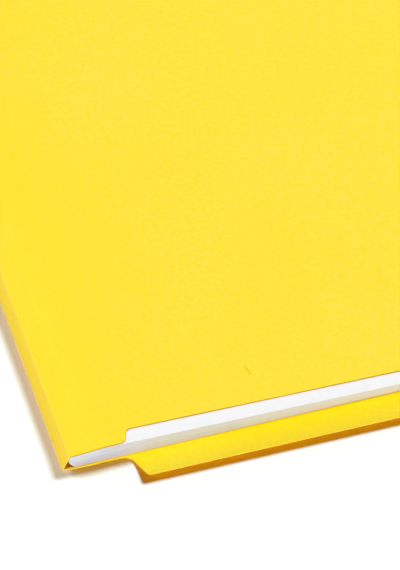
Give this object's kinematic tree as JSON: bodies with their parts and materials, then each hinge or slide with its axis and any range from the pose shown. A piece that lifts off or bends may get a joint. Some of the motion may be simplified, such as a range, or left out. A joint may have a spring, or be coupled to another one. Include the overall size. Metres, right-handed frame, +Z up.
{
  "type": "fastener folder",
  "caption": "End-tab card folder with an expansion spine, an undercut front, bonded prong fasteners and punched sheets.",
  "frame": {"origin": "centre of the back cover's underside, halfway from the spine's lower crease to the free edge and halfway along the body without its tab", "axes": "+X from the spine to the free edge, +Y from the tab end to the fastener end, +Z up"},
  "size_m": [0.2443, 0.3113, 0.0087],
  "materials": {
    "card": "matte uncoated card",
    "sheet_paper": "matte bond paper",
    "patch_paper": "matte kraft paper",
    "steel": "tin plate"
  },
  "bodies": {
    "folder_back": {"back_cover": "card", "tab_reinforcement": "card", "back_prongs": "steel", "back_patch": "patch_paper", "back_compressor": "steel", "sheet_01": "sheet_paper", "sheet_02": "sheet_paper", "sheet_03": "sheet_paper", "sheet_04": "sheet_paper", "sheet_05": "sheet_paper", "sheet_06": "sheet_paper", "sheet_07": "sheet_paper", "sheet_08": "sheet_paper", "sheet_09": "sheet_paper", "sheet_10": "sheet_paper", "sheet_11": "sheet_paper", "sheet_12": "sheet_paper", "sheet_13": "sheet_paper", "sheet_14": "sheet_paper", "sheet_15": "sheet_paper", "sheet_16": "sheet_paper", "sheet_17": "sheet_paper", "sheet_18": "sheet_paper", "sheet_19": "sheet_paper", "sheet_20": "sheet_paper", "sheet_21": "sheet_paper", "sheet_22": "sheet_paper", "sheet_23": "sheet_paper", "sheet_24": "sheet_paper", "sheet_25": "sheet_paper", "sheet_26": "sheet_paper", "sheet_27": "sheet_paper", "sheet_28": "sheet_paper", "sheet_29": "sheet_paper", "sheet_30": "sheet_paper"},
    "folder_spine": {"spine_panel": "card"},
    "folder_front": {"front_cover": "card", "front_prongs": "steel", "front_patch": "patch_paper", "front_compressor": "steel"},
    "back_lock_left": {"back_lock_left": "steel"},
    "back_lock_right": {"back_lock_right": "steel"},
    "front_lock_left": {"front_lock_left": "steel"},
    "front_lock_right": {"front_lock_right": "steel"}
  },
  "joints": [
    {"name": "spine_fold", "type": "hinge", "parent": "folder_back", "child": "folder_spine", "pos_m": [-0.12047, 0, 0.00123], "axis": [0, -1, 0], "range_deg": [0, 115]},
    {"name": "cover_fold", "type": "hinge", "parent": "folder_spine", "child": "folder_front", "pos_m": [-0.1176, 0, 0.00739], "axis": [0, -1, 0], "range_deg": [0, 64.5]},
    {"name": "back_lock_left_slide", "type": "slide", "parent": "folder_back", "child": "back_lock_left", "axis": [1, 0, 0], "range_m": [-0.009, 0.0187]},
    {"name": "back_lock_right_slide", "type": "slide", "parent": "folder_back", "child": "back_lock_right", "axis": [-1, 0, 0], "range_m": [-0.009, 0.0187]},
    {"name": "front_lock_left_slide", "type": "slide", "parent": "folder_front", "child": "front_lock_left", "axis": [-1, 0, -0.0037], "range_m": [-0.009, 0.0187]},
    {"name": "front_lock_right_slide", "type": "slide", "parent": "folder_front", "child": "front_lock_right", "axis": [1, 0, 0.0037], "range_m": [-0.009, 0.0187]}
  ]
}
